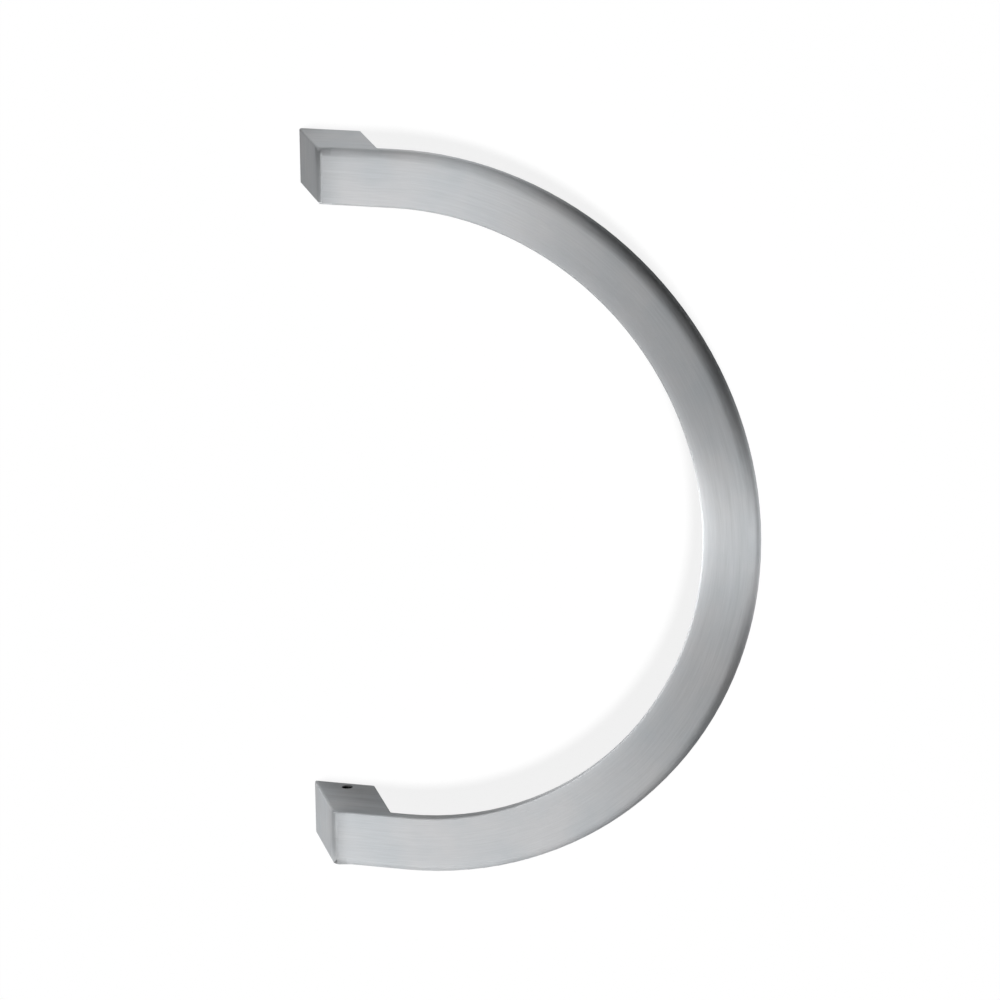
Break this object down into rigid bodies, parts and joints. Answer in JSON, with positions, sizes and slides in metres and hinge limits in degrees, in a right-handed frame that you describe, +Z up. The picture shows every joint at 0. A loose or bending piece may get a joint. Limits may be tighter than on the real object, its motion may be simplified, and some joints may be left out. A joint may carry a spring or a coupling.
{
  "type": "door pull handle",
  "caption": "Half-round pull handle in flat bar on slanted square legs, held to a door by tapped spigots and grub screws.",
  "frame": {"origin": "on the door's face, midway between the two spigots", "axes": "+Z up along the line through both spigots, +X from the legs towards the bow, +Y into the door"},
  "size_m": [0.2195, 0.04, 0.325],
  "materials": {
    "brushed_steel": "satin, brushed along the bar",
    "turned_steel": "turned",
    "dark_screw": "black oxide"
  },
  "bodies": {
    "root": {"handle_body": "brushed_steel", "mounting_spigot_upper": "turned_steel", "mounting_spigot_lower": "turned_steel", "grub_screw_upper": "dark_screw", "grub_screw_lower": "dark_screw"}
  },
  "joints": []
}
